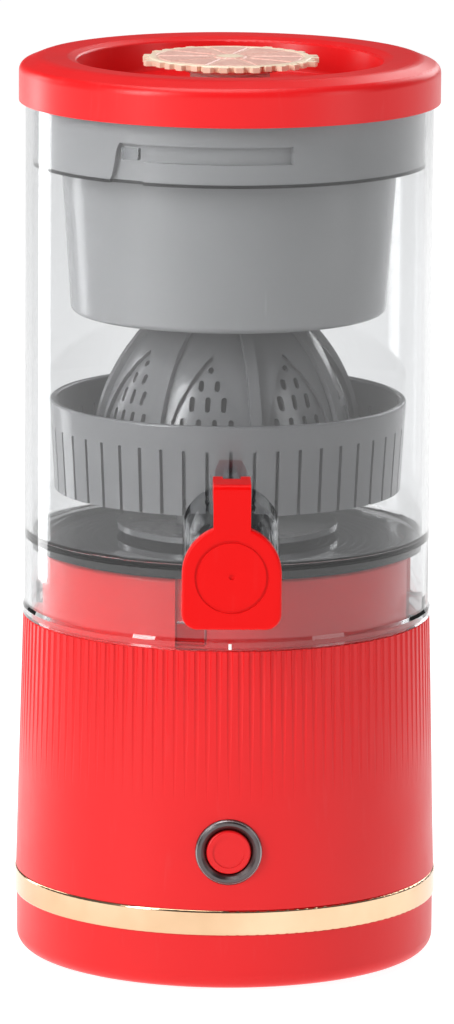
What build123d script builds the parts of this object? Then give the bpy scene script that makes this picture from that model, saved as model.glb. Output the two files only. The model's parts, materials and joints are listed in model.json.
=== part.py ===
from build123d import *
import os
from math import acos, cos, pi, radians, sin, sqrt, tan

# Citrus press juicer: a cordless motor base, a clear jar with a spout, a spinning strainer and reamer, and
# a lid whose knob screws a press cup down onto the fruit.
# Millimetres, +Z up. The origin is the middle of the face it stands on. The front, with the button and the
# spout, looks along -Y. Bearings are measured from the front, positive towards +X.

os.makedirs("parts", exist_ok=True)

# Overall stack, bottom to top
foot_low = 0.8  # the rubber feet lift the foot shell this far
foot_floor = 3.0
foot_top = 16.3
trim_top = 23.5
shell_top = 95.4
deck_top = 114.2
jar_low = 95.8
jar_floor = 118.4
jar_top = 241.0
lid_low = 239.5
lid_top = 251.8

# Main radii
foot_radius = 58.4
trim_radius = 58.95
shell_low_radius = 58.65
shell_top_radius = 56.8
shell_wall = 2.2
boss_radius = 51.3
jar_radius = 56.5
jar_bore = 54.5
lid_radius = 58.3

running = 0.05  # radial clearance of a shaft or pin in its hole

# Tie rods and feet
tie_radius = 50.6
tie_rod = 2.4
tie_bearings = (45, 135, 225, 315)
pad_circle = 40.0
pad_radius = 6.0

# Flutes of the housing
flute_count = 120
flute_radius = 0.95
flute_depth = 0.55
flute_low = 52.6

# Button
button_height = 39.8
button_radius = 6.1
bezel_radius = 9.0
bezel_seat = 57.3

# Gear train: every mesh is 12 teeth on 48, at the same centre distance
module = 0.8
pinion_teeth = 12
wheel_teeth = 48
centre_distance = module * (pinion_teeth + wheel_teeth) / 2
pressure_angle = radians(25)
tooth_thinning = 0.22
gearbox_low = 78.0
gearbox_floor = 80.2
gearbox_rim = 101.5
gearbox_top = 103.5
gearbox_radius = 46.7
gearbox_bore = 44.9
box_screw_circle = 41.5
box_screw_bearings = (0, 120, 240)
first_level = (82.0, 86.0)
second_level = (88.0, 92.0)
third_level = (94.0, 99.0)

# Gear axes, as x and y: each is one centre distance from the next, and the output is on the main axis
output_axis = (0.0, 0.0)
second_axis = (centre_distance, 0.0)
first_axis = (centre_distance * cos(radians(60)), centre_distance * sin(radians(60)))
motor_axis = (-first_axis[0], first_axis[1])

# Motor and cells
motor_radius = 13.85
motor_low = 41.0
cell_radius = 9.2
cell_low = 5.2
cell_top = 70.2
cell_x = 22.5
cell_y = 9.8

# Output shaft
shaft_radius = 4.0
stub_radius = 2.0
hex_low = 117.0
hex_top = 137.0
hex_across = 10.0

# Charge port at the back
port_height = 32.6
port_hinge = (57.95, 28.35)

# Chimney and keys of the jar
chimney_bore = 9.6
chimney_radius = 11.4
chimney_top = 130.0
key_bearings = (-11.5, 78.5, 168.5, 258.5)

# Spout: an arched channel, sheared down and forwards, with an upright mouth
spout_slope = radians(28)
spout_outer = 13.2
spout_bore = 11.4
spout_mouth = 72.0
spout_root = 50.0
spout_rise = jar_floor + 0.2 + 11.0  # height of the arch's centre where the channel leaves the bore
cap_pin = (-63.0, 142.0)  # y and height of the cap's hinge
cap_pin_radius = 1.25
knuckle_radius = 3.2
cap_face = -75.9

# Strainer and reamer
basket_rim_radius = 49.6
basket_low_radius = 48.1
basket_top = 156.5
basket_floor = 131.4
slot_count = 48
slot_top = 149.5
slot_width = 1.0
cone_radius = 36.1
cone_shoulder = 148.0
cone_low = 133.5
cone_wall = 2.2
ogive_centre = (-11.3, 142.0)  # radius and height of the centre of the cone's rounded outline
ogive_radius = 47.8
rib_count = 8
rib_bearing = 11.5
rib_proud = 1.6
rib_half = 1.5
panel_depth = 1.3
socket_post = 8.6
post_radius = 10.6

# Lid, collar and press
collar_radius = 54.0
collar_bore = 50.4
collar_low = 223.5
track_floor = 52.2
track_low = 228.9
track_high = 233.7
track_end = 17.4
lug_bearing = -30.5
lug_half = 2.6
dish_radius = 42.4
dish_floor = 242.4
cup_low = 181.0
cup_low_radius = 43.7
cup_top = 236.3
cup_top_radius = 47.4
cup_wall = 2.2
cup_ceiling = 204.0
nut_bore = 9.4
nut_radius = 13.0
spindle_radius = 9.0
spindle_lead = 24.0
pin_height = 232.5
knob_radius = 25.4
knob_seat = 248.2  # underside of the knob's middle, on its hub
knob_low = 250.0
knob_top = 251.4


def shell_radius(height):
    """Outer radius of the tapered housing at a height."""
    share = (height - trim_top) / (shell_top - trim_top)
    return shell_low_radius + share * (shell_top_radius - shell_low_radius)


def at_bearing(bearing, radius):
    """x and y of a point at a bearing from the front."""
    return radius * sin(radians(bearing)), -radius * cos(radians(bearing))


def facing(bearing, radius=0.0):
    """An upright plane whose normal points outwards at a bearing, with its y axis up."""
    x, y = at_bearing(bearing, radius)
    outward = at_bearing(bearing, 1)
    return Plane(origin=(x, y, 0), x_dir=(-outward[1], outward[0], 0), z_dir=(*outward, 0))


def radial_plane(bearing):
    """The upright plane through the axis at a bearing, with x outwards and y up."""
    outward = at_bearing(bearing, 1)
    return Plane(origin=(0, 0, 0), x_dir=(*outward, 0), z_dir=(outward[1], -outward[0], 0))


def tube(outer, inner, low, high, centre=(0, 0), mode=Mode.ADD):
    """An upright tube, or a rod if inner is 0, in the part being built."""
    with BuildSketch(Plane.XY.offset(low)) as section:
        with Locations(centre):
            Circle(outer)
            if inner:
                Circle(inner, mode=Mode.SUBTRACT)
    extrude(section.sketch, amount=high - low, mode=mode)


def turned(points, mode=Mode.ADD):
    """A solid of revolution about the main axis from an outline of (radius, height) points."""
    with BuildSketch(Plane.XZ) as section:
        Polygon(*points)
    revolve(section.sketch, axis=Axis.Z, mode=mode)


def bar(size, centre, mode=Mode.ADD):
    """A plain block in the part being built."""
    with Locations(centre):
        Box(*size, mode=mode)


def front_rod(radius, near, far, x, height, mode=Mode.ADD):
    """A rod along Y between two y values, in the part being built."""
    with BuildSketch(Plane.XZ.offset(-far)) as section:
        with Locations((x, height)):
            Circle(radius)
    extrude(section.sketch, amount=far - near, mode=mode)


def cross_rod(radius, half_length, y, height, mode=Mode.ADD):
    """A rod along X, centred on the middle plane."""
    with BuildSketch(Plane.YZ) as section:
        with Locations((y, height)):
            Circle(radius)
    extrude(section.sketch, amount=half_length, both=True, mode=mode)


def save(built, name):
    """Labels a finished piece and writes it."""
    built.part.label = name
    export_step(built.part, f"parts/{name}.step")


# ---------------------------------------------------------------- base: casing

with BuildPart() as foot_shell:
    turned([(0, foot_low), (foot_radius, foot_low), (foot_radius, foot_top), (foot_radius - 2.4, foot_top),
            (foot_radius - 2.4, foot_floor), (0, foot_floor)])
    rim = foot_shell.edges().filter_by(GeomType.CIRCLE).group_by(Axis.Z)[0].sort_by(SortBy.RADIUS)[-1]
    fillet(rim, radius=4.0)
    for bearing in tie_bearings:
        tube(pad_radius + 0.1, 0, foot_low, foot_low + 0.6, at_bearing(bearing, pad_circle), Mode.SUBTRACT)
        tube(1.7, 0, foot_low, foot_floor, at_bearing(bearing, tie_radius), Mode.SUBTRACT)
        tube(3.4, 0, foot_low, foot_low + 1.1, at_bearing(bearing, tie_radius), Mode.SUBTRACT)
save(foot_shell, "foot_shell")

with BuildPart() as rubber_feet:
    for bearing in tie_bearings:
        tube(pad_radius, 0, 0, foot_low + 0.6, at_bearing(bearing, pad_circle))
    chamfer(rubber_feet.edges().filter_by(GeomType.CIRCLE).group_by(Axis.Z)[0], length=0.4)
save(rubber_feet, "rubber_feet")

with BuildPart() as gold_trim_ring:
    tube(trim_radius, foot_radius - 2.4, foot_top, trim_top)
    outer_edges = gold_trim_ring.edges().filter_by(GeomType.CIRCLE).filter_by(
        lambda edge: edge.radius > trim_radius - 0.1)
    fillet(outer_edges, radius=0.7)
save(gold_trim_ring, "gold_trim_ring")

with BuildPart() as flute:
    upper = Vector(shell_top_radius + flute_radius - flute_depth, 0, shell_top)
    lower = Vector(shell_radius(flute_low) + flute_radius, 0, flute_low)
    along = (lower - upper).normalized()
    with BuildSketch(Plane(origin=upper - along * 2, z_dir=along)):
        Circle(flute_radius)
    extrude(amount=(lower - upper).length + 6)

with BuildPart() as outer_shell:
    turned([(shell_low_radius, trim_top), (shell_top_radius, shell_top),
            (shell_top_radius - shell_wall, shell_top), (shell_low_radius - shell_wall, trim_top)])
    for x in (-10.5, 10.5):
        for height in (30.5, 50.5):
            front_rod(1.9, -56.0, -48.6, x, height)
            front_rod(1.0, -54.0, -48.6, x, height, Mode.SUBTRACT)
    with PolarLocations(0, flute_count):
        add(flute.part, mode=Mode.SUBTRACT)
    front_rod(bezel_radius + 0.2, -60.0, -bezel_seat, 0, button_height, Mode.SUBTRACT)
    front_rod(7.8, -60.0, -50.0, 0, button_height, Mode.SUBTRACT)
    bar((10.4, 8.0, 4.4), (0, 56.0, port_height), Mode.SUBTRACT)
    with BuildSketch(Plane.XY.offset(27.2)):
        Circle(60.0)
        Circle(57.1, mode=Mode.SUBTRACT)
        with Locations((0, 60.0)):
            Rectangle(15.0, 12.0, mode=Mode.INTERSECT)
    extrude(amount=9.9, mode=Mode.SUBTRACT)
save(outer_shell, "outer_shell")

with BuildPart() as deck_cover:
    turned([(8.3, 112.2), (boss_radius - 2.9, 112.2), (boss_radius - 2.9, 93.2), (54.3, 93.2),
            (54.3, shell_top), (boss_radius, shell_top), (boss_radius, deck_top), (8.3, deck_top)])
    top_edge = deck_cover.edges().filter_by(GeomType.CIRCLE).group_by(Axis.Z)[-1].sort_by(SortBy.RADIUS)[-1]
    fillet(top_edge, radius=1.0)
    for bearing in key_bearings:
        with BuildSketch(facing(bearing, boss_radius - 1.4)):
            with Locations((0, (shell_top + deck_top) / 2)):
                Rectangle(9.4, deck_top - shell_top)
        extrude(amount=4.0, mode=Mode.SUBTRACT)
    for bearing in box_screw_bearings:
        tube(4.0, 0, gearbox_top + 0.1, 112.2, at_bearing(bearing, box_screw_circle))
        tube(1.6, 0, gearbox_top, 111.0, at_bearing(bearing, box_screw_circle), Mode.SUBTRACT)
    for bearing in tie_bearings:
        tube(1.6, 0, 93.0, 95.0, at_bearing(bearing, tie_radius), Mode.SUBTRACT)
save(deck_cover, "deck_cover")

with BuildPart() as tie_rods:
    for bearing in tie_bearings:
        place = at_bearing(bearing, tie_radius)
        tube(tie_rod, 0, foot_floor, 93.2, place)
        tube(1.5, 0, 93.2, 94.9, place)
        tube(1.55, 0, foot_floor, 14.0, place, Mode.SUBTRACT)
save(tie_rods, "tie_rods")

with BuildPart() as tie_rod_screws:
    for bearing in tie_bearings:
        place = at_bearing(bearing, tie_radius)
        tube(1.5, 0, foot_low + 1.1, 13.0, place)
        tube(3.1, 0, foot_low + 0.1, foot_low + 1.1, place)
        bar((4.0, 0.7, 0.6), (*place, foot_low + 0.2), Mode.SUBTRACT)
save(tie_rod_screws, "tie_rod_screws")

# ---------------------------------------------------------------- base: button

button_line = Axis((0, 0, button_height), (0, 1, 0))

with BuildPart() as button_bezel:
    with BuildSketch(Plane.YZ) as section:
        Polygon((-55.0, button_height + 6.4), (-58.0, button_height + 6.4), (-59.2, button_height + 7.6),
                (-59.2, button_height + 8.3), (-58.6, button_height + bezel_radius),
                (-bezel_seat, button_height + bezel_radius), (-bezel_seat, button_height + 7.6),
                (-55.0, button_height + 7.6))
    revolve(axis=button_line)
save(button_bezel, "button_bezel")

with BuildPart() as button_cap:
    front_rod(button_radius, -58.7, -54.8, 0, button_height)
    front_rod(7.2, -54.8, -53.6, 0, button_height)
    face_edge = button_cap.edges().filter_by(GeomType.CIRCLE).sort_by(Axis.Y)[0]
    fillet(face_edge, radius=0.6)
    front_rod(4.4, -58.7, -58.4, 0, button_height, Mode.SUBTRACT)
save(button_cap, "button_cap")

with BuildPart() as tact_switch:
    bar((6.0, 3.2, 6.0), (0, -50.2, button_height))
    front_rod(1.9, -51.8, -49.3, 0, button_height, Mode.SUBTRACT)
save(tact_switch, "tact_switch")

with BuildPart() as switch_plunger:
    front_rod(1.6, -53.6, -50.2, 0, button_height)
save(switch_plunger, "switch_plunger")

with BuildPart() as control_board:
    bar((26.0, 1.6, 25.0), (0, -47.8, 40.5))
    for x in (-10.5, 10.5):
        for height in (30.5, 50.5):
            front_rod(1.1, -49.0, -46.0, x, height, Mode.SUBTRACT)
    bar((7.0, 1.4, 5.0), (-5.0, -46.3, 48.0))
    bar((5.0, 2.2, 5.0), (5.5, -45.9, 34.0))
save(control_board, "control_board")

with BuildPart() as board_screws:
    for x in (-10.5, 10.5):
        for height in (30.5, 50.5):
            front_rod(0.95, -53.0, -47.0, x, height)
            front_rod(2.0, -47.0, -45.8, x, height)
save(board_screws, "board_screws")

# ---------------------------------------------------------------- base: charge port

with BuildPart() as board_posts:
    for x in (-6.0, 6.0):
        tube(2.4, 0, foot_floor, 29.4, (x, 38.0))
save(board_posts, "board_posts")

with BuildPart() as charge_board:
    bar((18.0, 18.0, 1.6), (0, 43.5, 30.2))
    bar((5.0, 4.0, 1.4), (-5.0, 40.0, 31.7))
save(charge_board, "charge_board")

with BuildPart() as charge_socket:
    with BuildSketch(Plane.XZ.offset(-48.4)):
        with Locations((0, port_height)):
            SlotOverall(9.0, 3.2)
    extrude(amount=-7.3)
    with BuildSketch(Plane.XZ.offset(-55.7)):
        with Locations((0, port_height)):
            SlotOverall(8.3, 2.5)
    extrude(amount=6.2, mode=Mode.SUBTRACT)
    bar((6.4, 5.4, 0.7), (0, 52.2, port_height))
save(charge_socket, "charge_socket")

with BuildPart() as port_cover:
    with BuildSketch(Plane.XY.offset(28.35)):
        Circle(58.4)
        Circle(57.2, mode=Mode.SUBTRACT)
        with Locations((0, 60.0)):
            Rectangle(14.2, 12.0, mode=Mode.INTERSECT)
    extrude(amount=8.3)
    corner_edges = port_cover.edges().filter_by(Axis.Y).group_by(Axis.Z)[-1]
    fillet(corner_edges, radius=2.0)
    cross_rod(0.75, 4.6, *port_hinge)
    bar((5.0, 0.7, 0.8), (0, 58.6, 35.6))
save(port_cover, "port_cover")

# ---------------------------------------------------------------- base: battery and wires

with BuildPart() as battery_cells:
    for y in (-cell_y, cell_y):
        tube(cell_radius, 0, cell_low, cell_top - 1.0, (cell_x, y))
        tube(2.8, 0, cell_top - 1.0, cell_top, (cell_x, y))
save(battery_cells, "battery_cells")

with BuildPart() as battery_holder:
    bar((24.0, 42.0, 2.0), (cell_x, 0, foot_floor + 1.0))
    bar((2.4, 30.0, 63.0), (cell_x + 11.0, 0, foot_floor + 31.5))
    for y in (-cell_y, cell_y):
        for low, high in ((foot_floor + 1.0, 18.0), (56.0, 66.0)):
            tube(cell_radius + 1.4, 0, low, high, (cell_x, y))
    for y in (-cell_y, cell_y):
        tube(cell_radius + 0.1, 0, foot_floor + 2.0, 80.0, (cell_x, y), Mode.SUBTRACT)
save(battery_holder, "battery_holder")


def wire(points, bend):
    """A round wire along straight runs joined by tangent arcs, in the part being built."""
    with BuildLine() as route:
        FilletPolyline(*points, radius=bend)
    with BuildSketch(Plane(origin=route.line @ 0, z_dir=route.line % 0)) as section:
        Circle(0.7)
    sweep(section.sketch, path=route.line)


with BuildPart() as battery_leads:
    wire([(3.0, -46.95, 45.0), (3.0, -38.0, 45.0), (9.0, -26.0, 64.0), (cell_x, -cell_y, 75.5),
          (cell_x, -cell_y, cell_top)], (6.0, 10.0, 2.2))
    wire([(-2.0, -46.95, 42.0), (-2.0, -36.0, 42.0), (3.0, -8.0, 66.0), (cell_x, cell_y, 75.5),
          (cell_x, cell_y, cell_top)], (10.0, 12.0, 2.2))
save(battery_leads, "battery_leads")

with BuildPart() as motor_leads:
    for shift in (0.0, 8.0):
        x = motor_axis[0] - 4.0 + shift
        wire([(x + 7.0, -46.95, 35.0), (x + 7.0, -38.0, 35.0), (x, -6.0, 20.0), (x, motor_axis[1], 24.0),
              (x, motor_axis[1], 38.5)], (8.0, 12.0, 6.0))
save(motor_leads, "motor_leads")

# ---------------------------------------------------------------- base: motor and gearbox

with BuildPart() as motor_can:
    tube(motor_radius, 0, motor_low, gearbox_low, motor_axis)
    tube(motor_radius - 1.0, 0, motor_low, gearbox_low - 1.5, motor_axis, Mode.SUBTRACT)
    tube(1.3, 0, motor_low, gearbox_low, motor_axis, Mode.SUBTRACT)
    for side in (-1, 1):
        place = (motor_axis[0] + side * 8.5, motor_axis[1])
        tube(1.15, 0, gearbox_low - 2.0, gearbox_low, place, Mode.SUBTRACT)
    can_rim = motor_can.edges().filter_by(GeomType.CIRCLE).group_by(Axis.Z)[0].sort_by(SortBy.RADIUS)[-1]
    fillet(can_rim, radius=0.4)
save(motor_can, "motor_can")

with BuildPart() as motor_end_cap:
    tube(motor_radius - 1.1, 0, 38.5, motor_low + 2.4, motor_axis)
    tube(1.3, 0, 40.5, motor_low + 3.0, motor_axis, Mode.SUBTRACT)
save(motor_end_cap, "motor_end_cap")

with BuildPart() as motor_rotor:
    tube(1.15, 0, 40.6, 87.0, motor_axis)
    tube(11.0, 0, 48.0, 72.0, motor_axis)
    with Locations((*motor_axis, 60.0)):
        with PolarLocations(10.0, 5):
            Box(5.0, 1.6, 24.0, mode=Mode.SUBTRACT)
    tube(3.4, 1.0, 44.2, 47.2, motor_axis)
save(motor_rotor, "motor_rotor")

with BuildPart() as motor_screws:
    for side in (-1, 1):
        place = (motor_axis[0] + side * 8.5, motor_axis[1])
        tube(1.1, 0, gearbox_low - 1.4, gearbox_floor, place)
        tube(2.0, 0, gearbox_floor, gearbox_floor + 1.1, place)
        bar((2.8, 0.6, 0.5), (*place, gearbox_floor + 0.9), Mode.SUBTRACT)
save(motor_screws, "motor_screws")

with BuildPart() as gearbox_housing:
    tube(gearbox_radius, gearbox_bore, gearbox_low, gearbox_rim)
    tube(gearbox_bore + 0.5, 0, gearbox_low, gearbox_floor)
    for bearing in box_screw_bearings:
        tube(3.2, 0, gearbox_floor, gearbox_rim, at_bearing(bearing, box_screw_circle))
        tube(1.6, 0, gearbox_low, gearbox_rim, at_bearing(bearing, box_screw_circle), Mode.SUBTRACT)
    for axis in (first_axis, second_axis):
        tube(1.55, 0, 79.0, gearbox_floor, axis, Mode.SUBTRACT)
    tube(3.65, 0, gearbox_low, gearbox_floor, output_axis, Mode.SUBTRACT)
    tube(5.9, 0, gearbox_low, gearbox_floor, motor_axis, Mode.SUBTRACT)
    for side in (-1, 1):
        place = (motor_axis[0] + side * 8.5, motor_axis[1])
        tube(1.15, 0, gearbox_low, gearbox_floor, place, Mode.SUBTRACT)
save(gearbox_housing, "gearbox_housing")

with BuildPart() as gearbox_cover:
    tube(gearbox_radius, 0, gearbox_rim, gearbox_top)
    tube(10.5, 0, gearbox_top, 111.0)
    tube(shaft_radius + 0.4, 0, gearbox_rim, gearbox_top, mode=Mode.SUBTRACT)
    tube(8.05, 0, gearbox_top, 111.0, mode=Mode.SUBTRACT)
    for bearing in box_screw_bearings:
        tube(1.6, 0, gearbox_rim, gearbox_top, at_bearing(bearing, box_screw_circle), Mode.SUBTRACT)
    for axis in (first_axis, second_axis):
        tube(1.55, 0, gearbox_rim, gearbox_rim + 1.2, axis, Mode.SUBTRACT)
save(gearbox_cover, "gearbox_cover")

with BuildPart() as gearbox_screws:
    for bearing in box_screw_bearings:
        tube(1.5, 0, gearbox_low, 110.5, at_bearing(bearing, box_screw_circle))
        tube(2.8, 0, gearbox_low - 2.0, gearbox_low, at_bearing(bearing, box_screw_circle))
        bar((3.6, 0.8, 0.8), (*at_bearing(bearing, box_screw_circle), gearbox_low - 1.8), Mode.SUBTRACT)
save(gearbox_screws, "gearbox_screws")

with BuildPart() as gear_pins:
    for axis in (first_axis, second_axis):
        tube(1.5, 0, 79.1, gearbox_rim + 1.0, axis)
save(gear_pins, "gear_pins")

with BuildPart() as lower_bush:
    tube(3.6, stub_radius + running, gearbox_low, 81.4)
save(lower_bush, "lower_bush")

with BuildPart() as upper_bush:
    tube(8.0, shaft_radius + running, gearbox_top, 109.5)
save(upper_bush, "upper_bush")

with BuildPart() as shaft_seal:
    turned([(shaft_radius + 0.1, 111.2), (8.2, 111.2), (8.2, 114.0), (6.4, 114.0), (5.4, 112.4),
            (shaft_radius + 0.1, 112.8)])
save(shaft_seal, "shaft_seal")

# ---------------------------------------------------------------- base: gears


def involute_roll(radius, base_radius):
    """Angle that the involute has turned through at a radius."""
    angle = acos(base_radius / radius)
    return tan(angle) - angle


def gear_outline(teeth, first_tooth):
    """Points of a spur gear's outline, with a tooth centred on the first_tooth direction in degrees."""
    pitch_radius = module * teeth / 2
    base_radius = pitch_radius * cos(pressure_angle)
    root_radius = pitch_radius - 1.2 * module
    tip_radius = pitch_radius + 0.95 * module
    start = max(base_radius, root_radius)
    half_at_pitch = (pi * module / 2 - tooth_thinning) / (2 * pitch_radius)
    flank = []
    for share in (0.0, 0.35, 0.7, 1.0):
        radius = start + share * (tip_radius - start)
        roll = involute_roll(radius, base_radius)
        half = half_at_pitch + involute_roll(pitch_radius, base_radius) - roll
        flank.append((radius, half))
    if root_radius < start - 0.01:
        flank.insert(0, (root_radius, flank[0][1]))
    points = []
    for tooth in range(teeth):
        middle = radians(first_tooth) + 2 * pi * tooth / teeth
        for radius, half in flank:
            points.append((radius * cos(middle - half), radius * sin(middle - half)))
        for radius, half in reversed(flank):
            points.append((radius * cos(middle + half), radius * sin(middle + half)))
    return points


def toothed(teeth, first_tooth, axis, level):
    """A spur gear blank in the part being built."""
    with BuildSketch(Plane.XY.offset(level[0])) as section:
        with Locations(axis):
            Polygon(*gear_outline(teeth, first_tooth))
    extrude(section.sketch, amount=level[1] - level[0])


def direction(start, end):
    """Direction in degrees, anticlockwise from +X, from one axis to another."""
    across = Vector(end[0] - start[0], end[1] - start[1], 0)
    return Vector(1, 0, 0).get_signed_angle(across, Vector(0, 0, 1))


half_wheel_pitch = 180 / wheel_teeth

# A pinion has a tooth, and the wheel that it drives has a gap, on the line between their axes.
with BuildPart() as motor_pinion:
    toothed(pinion_teeth, direction(motor_axis, first_axis), motor_axis, (81.6, 86.4))
    tube(1.2, 0, 81.6, 86.4, motor_axis, Mode.SUBTRACT)
save(motor_pinion, "motor_pinion")

with BuildPart() as first_gear:
    toothed(wheel_teeth, direction(first_axis, motor_axis) + half_wheel_pitch, first_axis, first_level)
    toothed(pinion_teeth, direction(first_axis, second_axis), first_axis, (86.0, 92.4))
    tube(1.6, 0, 80.0, 100.0, first_axis, Mode.SUBTRACT)
save(first_gear, "first_gear")

with BuildPart() as second_gear:
    toothed(wheel_teeth, direction(second_axis, first_axis) + half_wheel_pitch, second_axis, second_level)
    toothed(pinion_teeth, direction(second_axis, output_axis), second_axis, (92.0, 99.4))
    tube(1.6, 0, 80.0, 100.0, second_axis, Mode.SUBTRACT)
save(second_gear, "second_gear")

with BuildPart() as output_gear:
    toothed(wheel_teeth, direction(output_axis, second_axis) + half_wheel_pitch, output_axis, third_level)
    tube(7.0, 0, 99.0, 101.0)
    tube(shaft_radius + 0.02, 0, 90.0, 102.0, mode=Mode.SUBTRACT)
save(output_gear, "output_gear")

with BuildPart() as output_shaft:
    tube(stub_radius, 0, 78.4, 93.2)
    tube(shaft_radius, 0, 93.2, hex_low)
    with BuildSketch(Plane.XY.offset(hex_low)):
        RegularPolygon(radius=hex_across / 2, side_count=6, major_radius=False)
    extrude(amount=hex_top - hex_low)
    chamfer(output_shaft.edges().group_by(Axis.Z)[-1], length=0.8)
save(output_shaft, "output_shaft")

# ---------------------------------------------------------------- jar


def arch(radius, centre_height, below, corner):
    """An arched outline in the sketch being built: a half round top, straight sides, a flat bottom."""
    with BuildLine() as outline:
        JernArc((radius, centre_height), (0, 1), radius, 180)
        FilletPolyline((-radius, centre_height), (-radius, centre_height - below),
                       (radius, centre_height - below), (radius, centre_height), radius=corner)
    make_face(outline.line)


def spout_centre(y):
    """Height of the arch's centre at a y value."""
    return spout_rise + (y + jar_bore) * tan(spout_slope)


def channel(radius, below, corner, near, far, mode=Mode.ADD):
    """A length of the spout's arched section between two distances in front of the axis."""
    with BuildSketch(Plane.XZ.offset(near)) as section:
        arch(radius, spout_centre(-near), below, corner)
    slope = (0, -cos(spout_slope), -sin(spout_slope))
    extrude(section.sketch, amount=(far - near) / cos(spout_slope), dir=slope, mode=mode)


with BuildPart() as spout:
    channel(spout_outer, 12.8, 4.5, spout_root, spout_mouth)
    tube(jar_bore, 0, 90, 160, mode=Mode.SUBTRACT)

with BuildPart() as jar:
    turned([(56.9, jar_low), (56.9, 98.0), (jar_radius, 99.0), (jar_radius, jar_top), (jar_bore, jar_top),
            (jar_bore, jar_floor), (chimney_radius, jar_floor), (chimney_radius, chimney_top),
            (chimney_bore, chimney_top), (chimney_bore, 116.6), (49.6, 116.6), (49.6, 117.4),
            (jar_bore, 117.4), (jar_bore, jar_low)])
    rims = jar.edges().filter_by(GeomType.CIRCLE).group_by(Axis.Z)[-1]
    fillet(rims, radius=0.7)
    floor_edge = jar.edges().filter_by(GeomType.CIRCLE).filter_by(
        lambda edge: abs(edge.radius - jar_bore) < 0.01 and abs(edge.center().Z - jar_floor) < 0.01)
    fillet(floor_edge, radius=1.6)
    add(spout.part)
    channel(spout_bore, 11.0, 3.0, spout_root + 2.0, spout_mouth + 1.0, Mode.SUBTRACT)
    with BuildSketch(Plane.YZ):
        with Locations(cap_pin):
            Circle(2.6)
        Polygon((-65.6, cap_pin[1]), (-65.6, 136.2), (-60.4, 139.0), (-60.4, cap_pin[1]))
    extrude(amount=2.2, both=True)
    cross_rod(cap_pin_radius + running, 3.0, *cap_pin, mode=Mode.SUBTRACT)
    for bearing in key_bearings:
        with BuildSketch(facing(bearing, boss_radius - 1.0)):
            with Locations((0, 99.5)):
                Rectangle(8.0, 6.0)
        extrude(amount=jar_bore - boss_radius + 1.3)
    for turn in (0, 120, 240):
        with BuildSketch(radial_plane(lug_bearing - lug_half + turn)):
            with Locations(((52.6 + jar_bore + 0.3) / 2, 231.0)):
                Rectangle(jar_bore + 0.3 - 52.6, 3.2)
        revolve(axis=Axis.Z, revolution_arc=2 * lug_half)
save(jar, "jar")

with BuildPart() as floor_seal:
    turned([(50.0, 114.3), (50.9, 114.3), (51.3, 115.4), (54.2, 115.4), (54.2, 117.4), (50.0, 117.4)])
save(floor_seal, "floor_seal")

with BuildPart() as spout_pin:
    cross_rod(cap_pin_radius, 5.0, *cap_pin)
save(spout_pin, "spout_pin")

with BuildPart() as spout_cap:
    with BuildSketch(Plane.XZ.offset(spout_mouth + 0.9)):
        arch(13.5, 120.5, 15.1, 4.4)
    extrude(amount=3.0)
    face_edges = spout_cap.faces().sort_by(Axis.Y)[0].edges()
    fillet(face_edges, radius=0.8)
    with BuildSketch(Plane.XZ.offset(spout_mouth + 3.9)):
        with Locations((0, 120.0)):
            Circle(10.1)
            Circle(9.3, mode=Mode.SUBTRACT)
            Circle(0.8)
    extrude(amount=-0.45, mode=Mode.SUBTRACT)
    neck_top = cap_pin[1] + knuckle_radius
    neck_low = cap_pin[1] - knuckle_radius
    with BuildSketch(Plane.YZ):
        with Locations(cap_pin):
            Circle(knuckle_radius)
        Polygon((cap_pin[0], neck_top), (cap_face, neck_top), (cap_face, 131.0), (-72.9, 131.0),
                (-72.9, 136.4), (-69.0, neck_low), (cap_pin[0], neck_low))
    extrude(amount=5.05, both=True)
    shoulder = spout_cap.edges().filter_by(Axis.X).sort_by(
        lambda edge: (edge.center() - Vector(0, cap_face, neck_top)).length)[0]
    fillet(shoulder, radius=1.4)
    bar((4.9, 8.6, 12.0), (0, cap_pin[0] + 1.1, cap_pin[1]), Mode.SUBTRACT)
    cross_rod(cap_pin_radius + 0.08, 6.0, *cap_pin, mode=Mode.SUBTRACT)
save(spout_cap, "spout_cap")

with BuildPart() as spout_seal:
    with BuildSketch(Plane.XZ.offset(spout_mouth + 0.05)):
        arch(12.7, 120.4, 12.4, 4.0)
    extrude(amount=0.85)
    front_rod(8.6, -spout_mouth - 0.1, -69.6, 0, 120.0)
save(spout_seal, "spout_seal")

# ---------------------------------------------------------------- strainer and reamer

with BuildPart() as strainer_basket:
    turned([(socket_post + 0.15, basket_floor), (basket_low_radius, basket_floor),
            (basket_rim_radius, basket_top), (basket_rim_radius - 1.9, basket_top),
            (basket_low_radius - 1.8, basket_floor + 2.0), (socket_post + 0.15, basket_floor + 2.0)])
    top_edges = strainer_basket.edges().filter_by(GeomType.CIRCLE).group_by(Axis.Z)[-1]
    fillet(top_edges, radius=0.6)
    with BuildSketch(Plane.XY.offset(basket_floor)):
        with PolarLocations(basket_low_radius, slot_count):
            Rectangle(8.0, slot_width)
    extrude(amount=slot_top - basket_floor, mode=Mode.SUBTRACT)
    with BuildSketch(Plane.XY.offset(basket_floor)):
        with PolarLocations(26.0, 16):
            SlotOverall(9.0, 1.6)
        with PolarLocations(15.5, 8):
            SlotOverall(6.0, 1.6)
    extrude(amount=2.0, mode=Mode.SUBTRACT)
save(strainer_basket, "strainer_basket")


def ogive(radius, offset):
    """Height of the cone's rounded outline at a radius, moved outwards by an offset."""
    reach = ogive_radius + offset
    return ogive_centre[1] + sqrt(reach ** 2 - (radius - ogive_centre[0]) ** 2)


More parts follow.
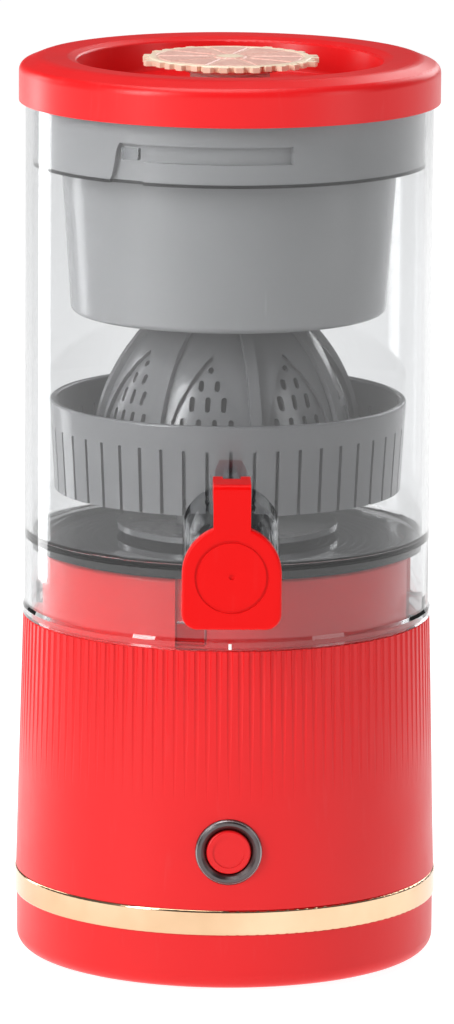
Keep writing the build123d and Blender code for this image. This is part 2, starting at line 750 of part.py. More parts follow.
def dome(offset, mode=Mode.ADD):
    """The solid cone, its outline moved outwards by an offset, in the part being built."""
    with BuildSketch(Plane.XZ) as section:
        with BuildLine() as outline:
            low = (cone_radius + offset, cone_shoulder)
            middle = (24.0, ogive(24.0, offset))
            high = (1.5, ogive(1.5, offset))
            ThreePointArc(low, middle, high)
            Polyline(high, (0, high[1]), (0, cone_low), (low[0], cone_low), low)
        make_face(outline.line)
    revolve(section.sketch, axis=Axis.Z, mode=mode)


with BuildPart() as panel_cutter:
    for number in range(rib_count):
        with BuildSketch(facing(rib_bearing + 22.5 + number * 45, 12.0)):
            with BuildLine():
                right = ThreePointArc((11.4, 136.0), (9.0, 157.0), (0, 172.0))
                left = ThreePointArc((0, 172.0), (-9.0, 157.0), (-11.4, 136.0))
                Line(left @ 1, right @ 0)
            make_face()
        extrude(amount=30.0)
    dome(-panel_depth, Mode.SUBTRACT)

with BuildPart() as cone_hollow:
    dome(-cone_wall)
    tube(post_radius, 0, cone_low, 190.0, mode=Mode.SUBTRACT)

with BuildPart() as reamer_cone:
    dome(0)
    for number in range(rib_count):
        with BuildSketch(radial_plane(rib_bearing + number * 45)):
            with BuildLine():
                ThreePointArc((cone_radius + rib_proud, cone_shoulder), (24.0, ogive(24.0, rib_proud)),
                              (5.0, ogive(5.0, rib_proud)))
                Polyline((5.0, ogive(5.0, rib_proud)), (5.0, ogive(5.0, -1.2)), (24.0, ogive(24.0, -1.2)),
                         (cone_radius - 1.2, cone_shoulder), (cone_radius - 1.2, cone_low),
                         (cone_radius + rib_proud, cone_low), (cone_radius + rib_proud, cone_shoulder))
            make_face()
        extrude(amount=rib_half, both=True)
    add(panel_cutter.part, mode=Mode.SUBTRACT)
    add(cone_hollow.part, mode=Mode.SUBTRACT)
    tube(socket_post + 0.15, 0, cone_low, 146.5, mode=Mode.SUBTRACT)
    tube(7.0, 0, 146.5, 178.0, mode=Mode.SUBTRACT)
    for number in range(rib_count):
        with BuildSketch(facing(rib_bearing + 22.5 + number * 45, 12.0)):
            with Locations((0, 168.2)):
                Circle(0.8)
            for height, places, length in ((164.2, (-2.2, 2.2), 2.8), (159.4, (-4.4, 0, 4.4), 4.0),
                                           (152.8, (-6.6, -2.2, 2.2, 6.6), 5.6),
                                           (143.6, (-8.4, -4.2, 0, 4.2, 8.4), 6.0)):
                with Locations(*[(place, height) for place in places]):
                    SlotOverall(length, 1.5, rotation=90)
        extrude(amount=30.0, mode=Mode.SUBTRACT)
save(reamer_cone, "reamer_cone")

with BuildPart() as drive_hub:
    turned([(0, 146.0), (socket_post, 146.0), (socket_post, 131.3), (14.2, 131.3), (14.2, 121.6),
            (30.8, 121.6), (30.8, 120.0), (12.3, 120.0), (12.3, 130.6), (socket_post, 130.6),
            (socket_post, 118.2), (0, 118.2)])
    with BuildSketch(Plane.XY.offset(118.2)):
        RegularPolygon(radius=hex_across / 2 + 0.2, side_count=6, major_radius=False)
    extrude(amount=hex_top + 1.5 - 118.2, mode=Mode.SUBTRACT)
save(drive_hub, "drive_hub")

# ---------------------------------------------------------------- lid

with BuildPart() as lid_gasket:
    tube(56.3, 54.8, jar_top, 242.1)
save(lid_gasket, "lid_gasket")

with BuildPart() as lid_ring:
    with BuildSketch(Plane.XZ):
        with BuildLine():
            FilletPolyline((9.0, dish_floor), (dish_radius - 1.2, dish_floor), (dish_radius, 250.6),
                           (dish_radius + 2.6, 251.6), (52.5, lid_top), (lid_radius, 249.4),
                           (lid_radius, lid_low), radius=(1.2, 0.8, 2.0, 6.0, 2.6))
            Polyline((lid_radius, lid_low), (56.8, lid_low), (56.8, 244.8), (52.5, 249.4), (44.8, 249.0),
                     (43.6, 240.4), (9.0, 240.4), (9.0, dish_floor))
        make_face()
    revolve(axis=Axis.Z)
    for bearing in (60, 180, 300):
        tube(1.35, 0, 240.4, 241.8, at_bearing(bearing, 34.0), Mode.SUBTRACT)
save(lid_ring, "lid_ring")

with BuildPart() as lid_collar:
    turned([(collar_bore, collar_low), (collar_radius, collar_low), (collar_radius, 242.2), (56.2, 242.2),
            (56.2, 244.0), (collar_bore, 244.0), (collar_bore, 238.2), (48.8, 238.2), (48.8, 236.8),
            (collar_bore, 235.8)])
    for turn in (0, 120, 240):
        entry = lug_bearing - lug_half - 1.0 + turn
        with BuildSketch(radial_plane(entry)):
            with Locations(((track_floor + 55.0) / 2, (track_low + track_high) / 2)):
                Rectangle(55.0 - track_floor, track_high - track_low)
        revolve(axis=Axis.Z, revolution_arc=track_end - lug_bearing + lug_half + 1.0, mode=Mode.SUBTRACT)
        with BuildSketch(facing(lug_bearing + turn, track_floor)):
            with BuildLine():
                edge = Bezier((-3.4, track_high), (-5.2, 231.0), (-4.4, 227.0), (-6.4, collar_low))
                Polyline(edge @ 1, (4.0, collar_low), (4.0, track_high), edge @ 0)
            make_face()
        extrude(amount=3.0, mode=Mode.SUBTRACT)
save(lid_collar, "lid_collar")

with BuildPart() as collar_seal:
    tube(54.2, 50.8, collar_low - 0.9, collar_low)
    for turn in (0, 120, 240):
        with BuildSketch(facing(lug_bearing + turn, track_floor)):
            with Locations((-1.2, collar_low)):
                Rectangle(10.4, 4.0)
        extrude(amount=3.0, mode=Mode.SUBTRACT)
save(collar_seal, "collar_seal")

with BuildPart() as press_guide:
    tube(50.1, 7.3, 238.4, 240.2)
    tube(16.0, nut_radius + 0.35, 213.0, 238.4)
    for side in (-1, 1):
        bar((5.0, 5.6, 24.0), (side * 15.2, 0, 225.0), Mode.SUBTRACT)
    for bearing in (60, 180, 300):
        tube(1.4, 0, 238.0, 240.4, at_bearing(bearing, 34.0), Mode.SUBTRACT)
save(press_guide, "press_guide")

with BuildPart() as lid_screws:
    for bearing in (60, 180, 300):
        place = at_bearing(bearing, 34.0)
        tube(1.3, 0, 238.4, 241.6, place)
        tube(2.6, 0, 237.0, 238.4, place)
        bar((3.4, 0.7, 0.7), (*place, 237.2), Mode.SUBTRACT)
save(lid_screws, "lid_screws")

# ---------------------------------------------------------------- press knob, spindle and cup


def prong_radius(step):
    """Uneven radius of the citrus disc's rim at a step around it."""
    return knob_radius - 1.3 + 0.75 * sin(step * 2.4) + 0.5 * sin(step * 5.3 + 1.0)


with BuildPart() as press_knob:
    prongs = 34
    with BuildSketch(Plane.XY.offset(knob_low)):
        rim = []
        for step in range(prongs):
            middle = 2 * pi * step / prongs
            for shift, dip in ((-0.062, 1.5), (-0.04, 0.0), (0.04, 0.0), (0.062, 1.5)):
                radius = prong_radius(step) - dip
                rim.append((radius * cos(middle + shift), radius * sin(middle + shift)))
        Polygon(*rim)
    extrude(amount=knob_top - knob_low)
    tube(14.0, 0, knob_seat, knob_low)
    tube(3.7, 0, knob_seat + 1.2, knob_top, mode=Mode.SUBTRACT)
    tube(1.7, 0, knob_seat, knob_top, mode=Mode.SUBTRACT)
save(press_knob, "press_knob")

with BuildPart() as knob_hub:
    turned([(7.02, 242.8), (13.5, 242.8), (11.0, 244.0), (11.0, 247.2), (14.0, knob_seat), (7.02, knob_seat)])
save(knob_hub, "knob_hub")

groove_low = 215.5
groove_high = 235.5
turn_to_pin = 360 * (pin_height - groove_low) / spindle_lead

with BuildPart() as spindle_groove:
    with BuildLine(Plane.XY.offset(groove_low)) as route:
        Helix(pitch=spindle_lead, height=groove_high - groove_low, radius=8.4, lefthand=True)
    with BuildSketch(Plane(origin=route.line @ 0, x_dir=(1, 0, 0), z_dir=route.line % 0)):
        Rectangle(2.4, 4.5)
    sweep(path=route.line, is_frenet=True)

with BuildPart() as press_spindle:
    tube(spindle_radius, 0, 209.0, 238.3)
    tube(7.0, 0, 238.3, knob_seat)
    with PolarLocations(0, 2, start_angle=90 + turn_to_pin):
        add(spindle_groove.part, mode=Mode.SUBTRACT)
    tube(1.55, 0, 234.0, knob_seat, mode=Mode.SUBTRACT)
save(press_spindle, "press_spindle")

with BuildPart() as knob_screw:
    tube(3.4, 0, knob_seat + 1.2, knob_seat + 2.6)
    tube(1.5, 0, 236.0, knob_seat + 1.2)
    bar((5.0, 0.9, 0.8), (0, 0, knob_seat + 2.4), Mode.SUBTRACT)
save(knob_screw, "knob_screw")

with BuildPart() as press_cup:
    turned([(cup_low_radius, cup_low), (cup_top_radius, cup_top), (cup_top_radius - cup_wall, cup_top),
            (44.6, cup_ceiling + 2.4), (nut_radius, cup_ceiling + 2.4), (nut_radius, 235.5),
            (nut_bore, 235.5), (nut_bore, cup_ceiling + 2.4), (0, cup_ceiling + 2.4), (0, cup_ceiling),
            (42.6, cup_ceiling), (cup_low_radius - cup_wall - 0.2, cup_low)])
    lip = press_cup.edges().filter_by(GeomType.CIRCLE).group_by(Axis.Z)[0].sort_by(SortBy.RADIUS)[-1]
    fillet(lip, radius=1.8)
    for side in (-1, 1):
        bar((2.4, 5.0, 21.0), (side * 13.7, 0, 225.0))
    for start in (90, 270):
        with BuildSketch(facing(start + 90, 8.0)):
            with Locations((0, pin_height)):
                Circle(2.0)
        extrude(amount=8.0, mode=Mode.SUBTRACT)
    for circle, count in ((15.0, 4), (29.0, 8)):
        with Locations((0, 0, cup_ceiling - 2.4)):
            with PolarLocations(circle, count):
                Cone(0.5, 1.9, 5.2)
save(press_cup, "press_cup")

with BuildPart() as follower_pins:
    for side in (0, 180):
        with BuildSketch(facing(side, 7.6)):
            with Locations((0, pin_height)):
                Circle(1.9)
        extrude(amount=nut_radius - 7.7)
save(follower_pins, "follower_pins")
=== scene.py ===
import json
import math

import bmesh
import bpy
from mathutils import Matrix, Vector


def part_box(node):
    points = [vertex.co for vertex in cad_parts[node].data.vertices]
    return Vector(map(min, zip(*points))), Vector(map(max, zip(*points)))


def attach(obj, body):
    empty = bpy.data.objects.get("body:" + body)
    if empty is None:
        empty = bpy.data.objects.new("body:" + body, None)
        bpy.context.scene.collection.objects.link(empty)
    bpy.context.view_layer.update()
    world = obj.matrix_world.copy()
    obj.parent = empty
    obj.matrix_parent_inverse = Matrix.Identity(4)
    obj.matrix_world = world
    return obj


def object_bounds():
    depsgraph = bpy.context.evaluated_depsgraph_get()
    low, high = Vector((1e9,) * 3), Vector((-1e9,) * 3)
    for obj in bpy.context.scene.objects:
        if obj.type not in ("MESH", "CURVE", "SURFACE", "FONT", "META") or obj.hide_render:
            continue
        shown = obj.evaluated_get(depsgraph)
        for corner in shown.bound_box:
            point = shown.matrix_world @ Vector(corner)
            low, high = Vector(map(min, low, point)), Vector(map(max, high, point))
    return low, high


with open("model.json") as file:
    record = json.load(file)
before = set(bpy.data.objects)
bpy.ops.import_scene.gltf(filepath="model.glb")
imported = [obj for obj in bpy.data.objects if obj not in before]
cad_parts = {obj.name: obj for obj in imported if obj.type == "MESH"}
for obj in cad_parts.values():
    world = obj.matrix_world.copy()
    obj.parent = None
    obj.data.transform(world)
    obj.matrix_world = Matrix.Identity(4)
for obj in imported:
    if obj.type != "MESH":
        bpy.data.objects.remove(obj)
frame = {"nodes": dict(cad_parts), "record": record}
nodes = frame["nodes"]
cad_low, cad_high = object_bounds()
scene = bpy.context.scene
segment_count = 10  # of the citrus slice on the knob

# ---------------------------------------------------------------- materials


class Shader:
    """A node material with one Principled BSDF, and short calls for the nodes used here."""

    def __init__(self, name):
        self.material = bpy.data.materials.new(name)
        self.material.use_nodes = True
        self.tree = self.material.node_tree
        self.tree.nodes.clear()
        self.output = self.add("ShaderNodeOutputMaterial")
        self.bsdf = self.add("ShaderNodeBsdfPrincipled")
        self.link(self.bsdf.outputs[0], self.output.inputs["Surface"])
        self.place = self.add("ShaderNodeTexCoord").outputs["Object"]

    def add(self, kind, **values):
        node = self.tree.nodes.new(kind)
        for key, value in values.items():
            setattr(node, key, value)
        return node

    def link(self, start, end):
        self.tree.links.new(start, end)

    def stretched(self, scale):
        """The object's own coordinates, scaled by a factor for each axis."""
        mapping = self.add("ShaderNodeMapping")
        mapping.inputs["Scale"].default_value = scale
        self.link(self.place, mapping.inputs["Vector"])
        return mapping.outputs[0]

    def noise(self, scale, detail=3.0, rough=0.55, vector=None):
        node = self.add("ShaderNodeTexNoise")
        node.inputs["Scale"].default_value = scale
        node.inputs["Detail"].default_value = detail
        node.inputs["Roughness"].default_value = rough
        self.link(vector or self.place, node.inputs["Vector"])
        return node.outputs["Fac"]

    def cells(self, scale):
        node = self.add("ShaderNodeTexVoronoi", feature="F1")
        node.inputs["Scale"].default_value = scale
        self.link(self.place, node.inputs["Vector"])
        return node.outputs["Distance"]

    def span(self, value, low, high, to_low=0.0, to_high=1.0):
        """A value mapped from low..high to to_low..to_high, and held at the ends."""
        node = self.add("ShaderNodeMapRange")
        node.inputs["From Min"].default_value = low
        node.inputs["From Max"].default_value = high
        node.inputs["To Min"].default_value = to_low
        node.inputs["To Max"].default_value = to_high
        self.link(value, node.inputs["Value"])
        return node.outputs["Result"]

    def maths(self, kind, first, second=0.0):
        node = self.add("ShaderNodeMath", operation=kind)
        for socket, value in zip(node.inputs, (first, second)):
            if isinstance(value, (int, float)):
                socket.default_value = value
            else:
                self.link(value, socket)
        return node.outputs[0]

    def ramp(self, value, stops):
        node = self.add("ShaderNodeValToRGB")
        elements = node.color_ramp.elements
        while len(elements) < len(stops):
            elements.new(0.5)
        for element, (place, colour) in zip(elements, stops):
            element.position = place
            element.color = (*colour, 1.0)
        self.link(value, node.inputs["Fac"])
        return node.outputs["Color"]

    def blend(self, share, first, second):
        node = self.add("ShaderNodeMix", data_type="RGBA")
        self.link(share, node.inputs["Factor"])
        for socket, colour in ((node.inputs[6], first), (node.inputs[7], second)):
            if isinstance(colour, tuple):
                socket.default_value = (*colour, 1.0)
            else:
                self.link(colour, socket)
        return node.outputs[2]

    def bump(self, height, depth):
        """Surface relief: height runs from 0 to about 1, depth is in metres."""
        node = self.add("ShaderNodeBump")
        node.inputs["Strength"].default_value = 1.0
        node.inputs["Distance"].default_value = depth
        self.link(height, node.inputs["Height"])
        return node.outputs["Normal"]

    def set(self, **sockets):
        """Principled BSDF inputs, with _ for a space: a number, a colour or another node's output."""
        for key, value in sockets.items():
            socket = self.bsdf.inputs[key.replace("_", " ")]
            if isinstance(value, (int, float)):
                socket.default_value = value
            elif isinstance(value, tuple):
                socket.default_value = (*value, 1.0)
            else:
                self.link(value, socket)


def moulded(name, light, dark, rough, grain=1400, depth=0.000012, wear=0.12, specular=0.5):
    """Moulded plastic or rubber: mottled colour, fine grain, uneven gloss, faint scuffs."""
    s = Shader(name)
    mottle = s.noise(14, 4)
    fine = s.noise(grain, 2)
    scuffs = s.span(s.noise(420, 2, 0.6, s.stretched((1.0, 1.0, 0.12))), 0.62, 0.78)
    tone = s.ramp(mottle, [(0.30, dark), (0.72, light)])
    paler = tuple(min(1.0, c * 0.8 + 0.2 * max(light)) for c in light)
    tone = s.blend(s.maths("MULTIPLY", scuffs, wear), tone, paler)
    smudge = s.span(s.noise(38, 5, 0.62), 0.35, 0.70, rough[0], rough[1])
    s.set(Base_Color=tone, Roughness=s.maths("ADD", smudge, s.maths("MULTIPLY", scuffs, 0.10)),
          Normal=s.bump(s.maths("ADD", fine, s.maths("MULTIPLY", mottle, 0.4)), depth))
    s.set(Specular_IOR_Level=specular)
    return s.material


def metal(name, light, dark, rough, brushed=(1.0, 1.0, 1.0)):
    """Plated or machined metal: fine marks along one direction, cloudy gloss, small stains."""
    s = Shader(name)
    marks = s.noise(500, 3, 0.6, s.stretched(brushed))
    cloud = s.noise(24, 4)
    tone = s.ramp(cloud, [(0.30, dark), (0.70, light)])
    spots = s.span(s.cells(260), 0.0, 0.05, 0.30, 0.0)
    tone = s.blend(spots, tone, tuple(c * 0.55 for c in dark))
    gloss = s.maths("ADD", s.span(cloud, 0.3, 0.7, rough[0], rough[1]), s.maths("MULTIPLY", marks, 0.06))
    s.set(Base_Color=tone, Metallic=1.0, Roughness=gloss, Normal=s.bump(marks, 0.000006))
    return s.material


def clear_plastic(name, tint):
    """Clear moulded plastic that lets light through to what it holds, greyer where it is deep."""
    s = Shader(name)
    haze = s.span(s.noise(30, 5, 0.6), 0.35, 0.75, 0.015, 0.050)
    flow = s.noise(22, 2, 0.4, s.stretched((1.0, 1.0, 0.35)))
    s.set(Base_Color=tint, Roughness=haze, Normal=s.bump(flow, 0.00006))
    s.set(Transmission_Weight=1.0, IOR=1.49)
    passing = s.add("ShaderNodeBsdfTransparent")
    passing.inputs["Color"].default_value = (0.90, 0.91, 0.92, 1.0)
    rays = s.add("ShaderNodeLightPath")
    either = s.add("ShaderNodeMixShader")
    s.link(rays.outputs["Is Shadow Ray"], either.inputs[0])
    s.link(s.bsdf.outputs[0], either.inputs[1])
    s.link(passing.outputs[0], either.inputs[2])
    s.link(either.outputs[0], s.output.inputs["Surface"])
    depth = s.add("ShaderNodeVolumeAbsorption")
    depth.inputs["Color"].default_value = (0.60, 0.61, 0.62, 1.0)
    depth.inputs["Density"].default_value = 130.0
    s.link(depth.outputs[0], s.output.inputs["Volume"])
    return s.material


def citrus(name):
    """Printed citrus slice: pale rim, pink flesh in segments with pale walls and a pale core."""
    s = Shader(name)
    axes = s.add("ShaderNodeSeparateXYZ")
    s.link(s.place, axes.inputs[0])
    x, y = axes.outputs["X"], axes.outputs["Y"]
    radius = s.maths("SQRT", s.maths("ADD", s.maths("MULTIPLY", x, x), s.maths("MULTIPLY", y, y)))
    angle = s.maths("ARCTAN2", y, x)
    wobble = s.span(s.noise(160, 3), 0.0, 1.0, -0.0014, 0.0014)
    uneven = s.maths("ADD", radius, wobble)
    wedge = s.maths("ABSOLUTE", s.maths("SINE", s.maths("MULTIPLY", angle, segment_count / 2)))
    across = s.maths("MULTIPLY", wedge, radius)
    walls = s.span(across, 0.0005, 0.0016, 1.0, 0.0)
    rind = s.span(uneven, 0.0195, 0.0215)
    core = s.span(uneven, 0.0030, 0.0042, 1.0, 0.0)
    rim_and_core = s.maths("ADD", rind, core)
    pale = s.maths("MINIMUM", s.maths("ADD", s.maths("MULTIPLY", walls, 0.45), rim_and_core), 1.0)
    pulp = s.noise(900, 4, 0.6)
    flesh = s.ramp(pulp, [(0.30, (0.72, 0.36, 0.30)), (0.70, (0.86, 0.56, 0.47))])
    tone = s.blend(pale, flesh, (0.90, 0.74, 0.56))
    s.set(Base_Color=tone, Roughness=s.span(pulp, 0.2, 0.8, 0.38, 0.52),
          Normal=s.bump(s.maths("ADD", s.maths("MULTIPLY", pulp, 0.3), pale), 0.00012), Coat_Weight=0.15)
    return s.material


looks = {
    "red": moulded("red_plastic", (0.760, 0.008, 0.010), (0.700, 0.006, 0.008), (0.30, 0.40), wear=0.06,
                   specular=0.34),
    "cap": moulded("cap_red", (0.780, 0.001, 0.001), (0.730, 0.001, 0.001), (0.34, 0.44), wear=0.03,
                   specular=0.16),
    "gold": metal("gold_trim", (0.840, 0.610, 0.400), (0.660, 0.430, 0.250), (0.06, 0.12), (1.0, 1.0, 14.0)),
    "clear": clear_plastic("clear_plastic", (0.880, 0.884, 0.888)),
    "grey": moulded("grey_plastic", (0.300, 0.300, 0.302), (0.255, 0.255, 0.258), (0.16, 0.26), wear=0.03,
                    depth=0.000006),
    "basket": moulded("basket_grey", (0.190, 0.190, 0.193), (0.150, 0.150, 0.154), (0.14, 0.24), wear=0.03,
                      depth=0.000006),
    # painted reflection: near-black colour of the disc on the boss, standing in for the jar floor's dark
    # grey reflections
    "painted_reflection_dark": moulded("painted_reflection_disc", (0.045, 0.044, 0.048), (0.030, 0.029, 0.032), (0.30, 0.42), wear=0.05,
                   specular=0.3),
    "citrus": citrus("citrus_print"),
    "mark": moulded("mark_print", (0.900, 0.880, 0.860), (0.820, 0.800, 0.780), (0.40, 0.52), wear=0.03),
    "dark": metal("dark_metal", (0.150, 0.130, 0.130), (0.100, 0.090, 0.095), (0.22, 0.34)),
    "rubber": moulded("black_rubber", (0.010, 0.010, 0.011), (0.006, 0.006, 0.006), (0.55, 0.72), grain=2600,
                      depth=0.00003, wear=0.03, specular=0.2),
    "flap": moulded("port_rubber", (0.560, 0.022, 0.026), (0.480, 0.016, 0.020), (0.50, 0.66), grain=2200,
                    depth=0.00002),
    "steel": metal("steel", (0.620, 0.620, 0.630), (0.500, 0.500, 0.510), (0.22, 0.34), (1.0, 1.0, 8.0)),
    "inner": moulded("inner_plastic", (0.740, 0.735, 0.690), (0.660, 0.655, 0.610), (0.42, 0.56)),
    "brass": metal("brass", (0.800, 0.580, 0.240), (0.660, 0.450, 0.170), (0.20, 0.32)),
    "board": moulded("board_green", (0.030, 0.220, 0.100), (0.018, 0.160, 0.070), (0.28, 0.40), grain=2400),
    "cells": moulded("cell_wrap", (0.060, 0.200, 0.460), (0.040, 0.150, 0.380), (0.24, 0.34)),
    "wire": moulded("wire_red", (0.600, 0.030, 0.026), (0.500, 0.020, 0.018), (0.36, 0.48)),
}
slot_looks = {
    "red_plastic": "red", "cap_red": "cap", "gold_trim": "gold", "clear_plastic": "clear",
    "grey_plastic": "grey", "citrus_print": "citrus", "dark_metal": "dark", "black_rubber": "rubber",
    "port_rubber": "flap", "steel": "steel", "inner_plastic": "inner", "brass": "brass",
    "board_green": "board", "cell_wrap": "cells", "wire_red": "wire",
}


def dress(obj, look):
    """Gives an object one material throughout."""
    obj.data.materials.clear()
    obj.data.materials.append(looks[look])


for part in frame["record"]["subparts"]:
    dress(nodes[part["node"]], slot_looks[part["material_slot"]])
for name in ("strainer_basket", "reamer_cone", "drive_hub"):
    dress(nodes[name], "basket")

# ---------------------------------------------------------------- pieces that ride on the frame


def piece(name, mesh, look, body):
    """A finished mesh as a named piece that rides on a body."""
    data = bpy.data.meshes.new(name)
    mesh.to_mesh(data)
    mesh.free()
    obj = bpy.data.objects.new(name, data)
    scene.collection.objects.link(obj)
    dress(obj, look)
    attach(obj, body)
    return obj


def lathe(mesh, outline, steps):
    """Closed ring of quads: outline is (radius, height) points, turned about Z."""
    loops = []
    for step in range(steps):
        turn = 2 * math.pi * step / steps
        loops.append([mesh.verts.new((r * math.cos(turn), r * math.sin(turn), z)) for r, z in outline])
    for first, second in zip(loops, loops[1:] + loops[:1]):
        for a, b in zip(range(len(outline)), [*range(1, len(outline)), 0]):
            mesh.faces.new((first[a], second[a], second[b], first[b]))


def smooth(obj):
    """Smooth shading that keeps edges sharper than 35 degrees."""
    mesh = bmesh.new()
    mesh.from_mesh(obj.data)
    for face in mesh.faces:
        face.smooth = True
    for edge in mesh.edges:
        if len(edge.link_faces) == 2 and edge.calc_face_angle() > math.radians(35):
            edge.smooth = False
    mesh.to_mesh(obj.data)
    mesh.free()


def make_painted_reflection_disc():
    """Dark disc with rings moulded round the shaft, on top of the boss and seen through the jar's floor:
    painted reflection, a near-black piece that stands in for the dark grey reflections on the jar's floor.
    """
    bore, edge = 0.0126, 0.0490
    pitch = 0.0025
    deck_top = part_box("deck_cover")[1].z
    ridge, valley = deck_top + 0.0010, deck_top + 0.0007
    outline = [(bore, deck_top), (edge, deck_top), (edge + 0.0002, deck_top + 0.0006)]
    for ring in range(14):
        r = edge - 0.0004 - ring * pitch
        outline += [(r, ridge), (r - 0.0009, ridge), (r - 0.0011, valley), (r - 0.0022, valley)]
    outline.append((bore, deck_top + 0.0008))
    mesh = bmesh.new()
    lathe(mesh, outline, 160)
    # the disc's near-black colour is painted reflection
    smooth(piece("painted_reflection_disc", mesh, "painted_reflection_dark", "base"))


def make_bezel_edge():
    """Thin polished edge round the button's bezel, turned to face the front."""
    bezel_low, bezel_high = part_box("button_bezel")
    button = (bezel_low + bezel_high) / 2
    reach = (bezel_high.z - bezel_low.z) / 2
    proud = reach + 0.00005
    mesh = bmesh.new()
    lathe(mesh, [(reach - 0.0006, 0.0), (proud, 0.0), (proud, 0.0006), (reach - 0.0002, 0.0009),
                 (reach - 0.0005, 0.0009)], 120)
    for vert in mesh.verts:
        x, y, z = vert.co
        vert.co = (button.x + x, bezel_low.y + 0.0013 - z, button.z + y)
    bmesh.ops.reverse_faces(mesh, faces=mesh.faces)
    smooth(piece("bezel_edge", mesh, "steel", "base"))


def make_citrus_slice():
    """A low rind rim, a core and raised segments on top of the knob."""
    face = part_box("press_knob")[1].z
    rind_inner, rind_outer, rind_rise = 0.0205, 0.0224, 0.00022
    mesh = bmesh.new()
    lathe(mesh, [(rind_inner, face), (rind_outer, face), (rind_outer - 0.0002, face + rind_rise),
                 (rind_inner + 0.0002, face + rind_rise)], 140)
    smooth(piece("slice_rind", mesh, "citrus", "knob"))

    core, centre_hole = 0.0046, 0.0001
    mesh = bmesh.new()
    lathe(mesh, [(centre_hole, face), (core, face), (core - 0.0003, face + 0.00028),
                 (centre_hole, face + 0.00034)], 60)
    segment_outer, segment_inner = 0.0199, 0.0058
    gap = 0.045  # radians between a segment and its wall's middle
    half = math.pi / segment_count
    for number in range(segment_count):
        bearing = 2 * math.pi * (number + 0.5) / segment_count
        edge = []
        for share in range(9):
            turn = bearing + (share / 8 * 2 - 1) * (half - gap)
            edge.append((segment_outer * math.cos(turn), segment_outer * math.sin(turn)))
        for turn in (bearing + half * 0.5, bearing - half * 0.5):
            edge.append((segment_inner * math.cos(turn), segment_inner * math.sin(turn)))
        centre = Vector((sum(x for x, y in edge) / len(edge), sum(y for x, y in edge) / len(edge)))
        low = [mesh.verts.new((x, y, face)) for x, y in edge]
        drawn_in = [centre + (Vector(point) - centre) * 0.94 for point in edge]
        rise = [mesh.verts.new((*point, face + 0.00024)) for point in drawn_in]
        crown = mesh.verts.new((*centre, face + 0.00036))
        for i in range(len(edge)):
            j = (i + 1) % len(edge)
            mesh.faces.new((low[i], low[j], rise[j], rise[i]))
            mesh.faces.new((rise[i], rise[j], crown))
        mesh.faces.new(list(reversed(low)))
    smooth(piece("slice_segments", mesh, "citrus", "knob"))


def make_jar_mark():
    """Slim upright line, low on the front of the jar's skirt, that shows where the jar sits."""
    jar_low, jar_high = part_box("jar")
    skirt = (jar_high.x - jar_low.x) / 2
    mesh = bmesh.new()
    columns = []
    for step in (-2, -1, 0, 1, 2):
        turn = math.radians(-90 + step * 0.22)
        radius = skirt + 0.00018 * (1 - (step / 2) ** 2)
        columns.append([mesh.verts.new((radius * math.cos(turn), radius * math.sin(turn), z))
                        for z in (jar_low.z + 0.0003, jar_low.z + 0.0019)])
    for first, second in zip(columns, columns[1:]):
        mesh.faces.new((first[0], second[0], second[1], first[1]))
    smooth(piece("jar_mark", mesh, "mark", "jar"))


make_painted_reflection_disc()
make_bezel_edge()
make_citrus_slice()
make_jar_mark()

# ---------------------------------------------------------------- stage, light, camera

floor_reach = 60.0
floor_mesh = bpy.data.meshes.new("floor")
corners = [(x * floor_reach, y * floor_reach, 0) for x, y in ((-1, -1), (1, -1), (1, 1), (-1, 1))]
floor_mesh.from_pydata(corners, [], [(0, 1, 2, 3)])
floor = bpy.data.objects.new("floor", floor_mesh)
scene.collection.objects.link(floor)
paper = Shader("floor_paper")
paper.set(Base_Color=paper.ramp(paper.noise(3, 2), [(0.3, (0.38, 0.38, 0.38)), (0.7, (0.40, 0.40, 0.40))]),
          Roughness=0.9, Specular_IOR_Level=0.1)
paper.set(Emission_Color=(1.0, 1.0, 1.0), Emission_Strength=0.93)
floor_mesh.materials.append(paper.material)


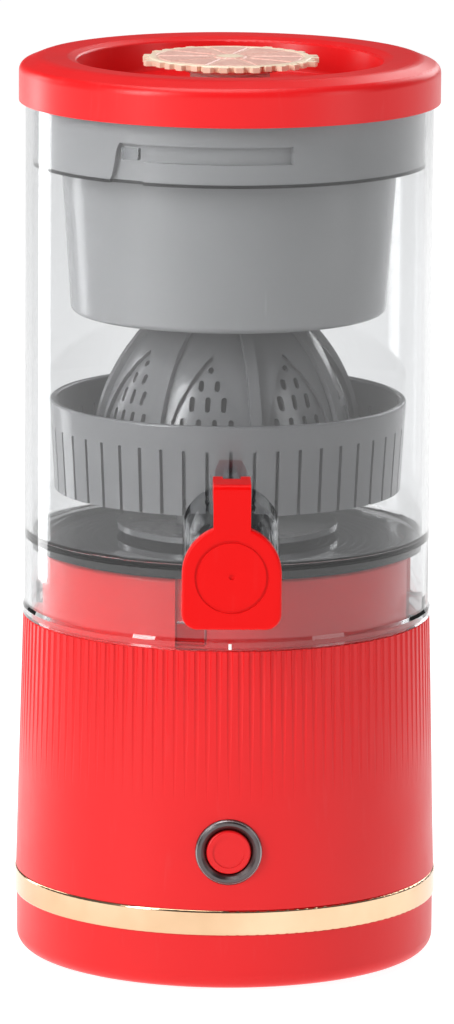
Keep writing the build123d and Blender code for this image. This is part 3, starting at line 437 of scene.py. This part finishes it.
def make_world():
    """Dim white surroundings for the light, and a plain white backdrop past the edge of the floor."""
    world = bpy.data.worlds.new("studio")
    world.use_nodes = True
    tree = world.node_tree
    dim = tree.nodes["Background"]
    dim.inputs["Color"].default_value = (1.0, 1.0, 1.0, 1.0)
    dim.inputs["Strength"].default_value = 0.12
    backdrop = tree.nodes.new("ShaderNodeBackground")
    backdrop.inputs["Color"].default_value = (1.0, 1.0, 1.0, 1.0)
    rays = tree.nodes.new("ShaderNodeLightPath")
    either = tree.nodes.new("ShaderNodeMixShader")
    tree.links.new(rays.outputs["Is Camera Ray"], either.inputs[0])
    tree.links.new(dim.outputs[0], either.inputs[1])
    tree.links.new(backdrop.outputs[0], either.inputs[2])
    tree.links.new(either.outputs[0], tree.nodes["World Output"].inputs["Surface"])
    scene.world = world


def softbox(name, place, size, power):
    """A soft area light, size (width, height), aimed at the middle of the object."""
    target = (cad_low + cad_high) / 2
    light = bpy.data.lights.new(name, "AREA")
    light.shape = "RECTANGLE"
    light.size, light.size_y = size
    light.energy = power
    obj = bpy.data.objects.new(name, light)
    obj.location = place
    obj.rotation_euler = (target - Vector(place)).to_track_quat("-Z", "Y").to_euler()
    scene.collection.objects.link(obj)


make_world()
softbox("key", (-1.15, -0.95, 0.80), (0.35, 1.1), 20)
softbox("fill", (1.25, -0.70, 0.60), (0.5, 1.0), 4.5)
softbox("top", (-0.2, 0.0, 1.50), (1.0, 0.8), 11)
softbox("rim", (0.7, 1.20, 0.80), (0.8, 0.9), 8)
softbox("strip", (-0.42, 0.30, 0.22), (0.12, 0.44), 0.75)
scene.view_settings.view_transform = "Standard"

camera_turn = math.radians(1.094)
camera_pitch = math.radians(10.667)
camera_roll = math.radians(0.4)
camera_distance, camera_height = 2.1714, 0.5326
camera_data = bpy.data.cameras.new("camera")
camera_data.lens = 278.5
camera_data.sensor_width = 36
camera_data.clip_end = 100
camera = bpy.data.objects.new("camera", camera_data)
camera.location = (-camera_distance * math.sin(camera_turn), -camera_distance * math.cos(camera_turn),
                   camera_height)
camera.rotation_euler = (Matrix.Rotation(-camera_turn, 3, "Z")
                         @ Matrix.Rotation(math.pi / 2 - camera_pitch, 3, "X")
                         @ Matrix.Rotation(camera_roll, 3, "Z")).to_euler()
scene.collection.objects.link(camera)
scene.camera = camera
